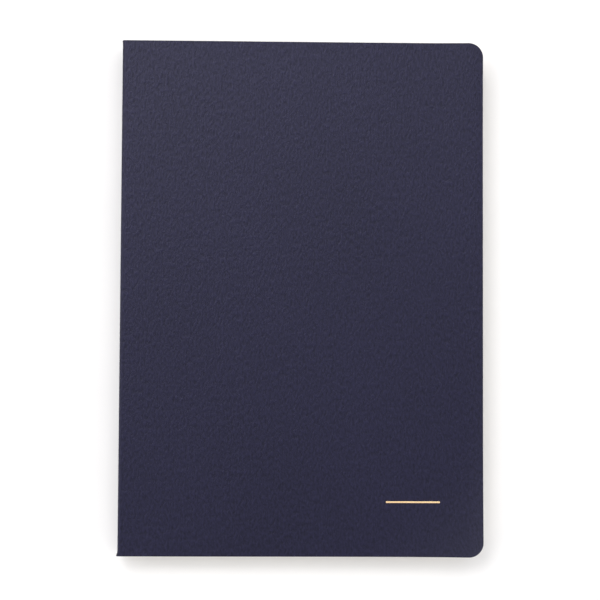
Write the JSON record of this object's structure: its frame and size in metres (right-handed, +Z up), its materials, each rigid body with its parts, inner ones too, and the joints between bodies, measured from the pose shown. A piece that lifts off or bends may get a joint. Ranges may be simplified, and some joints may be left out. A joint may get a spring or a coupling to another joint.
{
  "type": "pilot logbook",
  "caption": "Slim portrait softcover pilot logbook: thread-sewn ruled pages in a flat scored cover with square spine corners, rounded fore-edge corners and a short foil line.",
  "frame": {"origin": "middle of the back cover's underside, where the closed book lies on a surface", "axes": "+Z up through the closed book, +X from the spine to the fore edge, +Y from the tail of the pages to the head"},
  "size_m": [0.148, 0.21, 0.0132],
  "materials": {
    "cover": "satin",
    "foil": "polished",
    "endpaper": "matte",
    "paper": "matte",
    "thread": "matte",
    "glue": "satin",
    "kraft": "matte",
    "gauze": "matte"
  },
  "bodies": {
    "back_cover_body": {"back_cover": "cover", "back_pastedown": "endpaper"},
    "book_block": {"spine_cover": "cover", "spine_glue": "glue", "spine_liner": "kraft", "spine_mull": "gauze", "kettle_stitch_head": "thread", "kettle_stitch_tail": "thread", "signature_05": "paper", "signature_06": "paper", "signature_07": "paper", "signature_08": "paper", "signature_09": "paper", "signature_10": "paper", "signature_11": "paper", "signature_12": "paper", "sewing_thread_05": "thread", "sewing_thread_06": "thread", "sewing_thread_07": "thread", "sewing_thread_08": "thread", "sewing_thread_09": "thread", "sewing_thread_10": "thread", "sewing_thread_11": "thread", "sewing_thread_12": "thread"},
    "front_cover_body": {"front_cover": "cover", "foil_line": "foil", "front_pastedown": "endpaper"},
    "front_flyleaf_body": {"front_flyleaf": "endpaper"},
    "back_flyleaf_body": {"back_flyleaf": "endpaper"},
    "signature_01_body": {"signature_01": "paper", "sewing_thread_01": "thread"},
    "signature_02_body": {"signature_02": "paper", "sewing_thread_02": "thread"},
    "signature_03_body": {"signature_03": "paper", "sewing_thread_03": "thread"},
    "signature_04_body": {"signature_04": "paper", "sewing_thread_04": "thread"}
  },
  "joints": [
    {"name": "back_cover_fold", "type": "hinge", "parent": "back_cover_body", "child": "book_block", "pos_m": [-0.074, 0, 0], "axis": [0, 1, 0], "range_deg": [-90, 0]},
    {"name": "front_cover_fold", "type": "hinge", "parent": "book_block", "child": "front_cover_body", "pos_m": [-0.074, 0, 0.01318], "axis": [0, -1, 0], "range_deg": [0, 179]},
    {"name": "front_flyleaf_turn", "type": "hinge", "parent": "book_block", "child": "front_flyleaf_body", "pos_m": [-0.074, 0, 0.01318], "axis": [0, -1, 0], "range_deg": [0, 177]},
    {"name": "signature_01_turn", "type": "hinge", "parent": "book_block", "child": "signature_01_body", "pos_m": [-0.074, 0, 0.01318], "axis": [0, -1, 0], "range_deg": [0, 173]},
    {"name": "signature_02_turn", "type": "hinge", "parent": "book_block", "child": "signature_02_body", "pos_m": [-0.074, 0, 0.01318], "axis": [0, -1, 0], "range_deg": [0, 169]},
    {"name": "signature_03_turn", "type": "hinge", "parent": "book_block", "child": "signature_03_body", "pos_m": [-0.074, 0, 0.01318], "axis": [0, -1, 0], "range_deg": [0, 11]},
    {"name": "signature_04_turn", "type": "hinge", "parent": "book_block", "child": "signature_04_body", "pos_m": [-0.074, 0, 0.01318], "axis": [0, -1, 0], "range_deg": [0, 6]},
    {"name": "back_flyleaf_turn", "type": "hinge", "parent": "book_block", "child": "back_flyleaf_body", "pos_m": [-0.074, 0, 0], "axis": [0, 1, 0], "range_deg": [0, 45]}
  ],
  "couplings": [
    {"joint": "front_flyleaf_turn", "follows": "front_cover_fold", "ratio": 0.985},
    {"joint": "signature_01_turn", "follows": "front_cover_fold", "ratio": 0.965},
    {"joint": "signature_02_turn", "follows": "front_cover_fold", "ratio": 0.94},
    {"joint": "signature_03_turn", "follows": "front_cover_fold", "ratio": 0.06},
    {"joint": "signature_04_turn", "follows": "front_cover_fold", "ratio": 0.03},
    {"joint": "back_flyleaf_turn", "follows": "back_cover_fold", "ratio": -0.5}
  ]
}
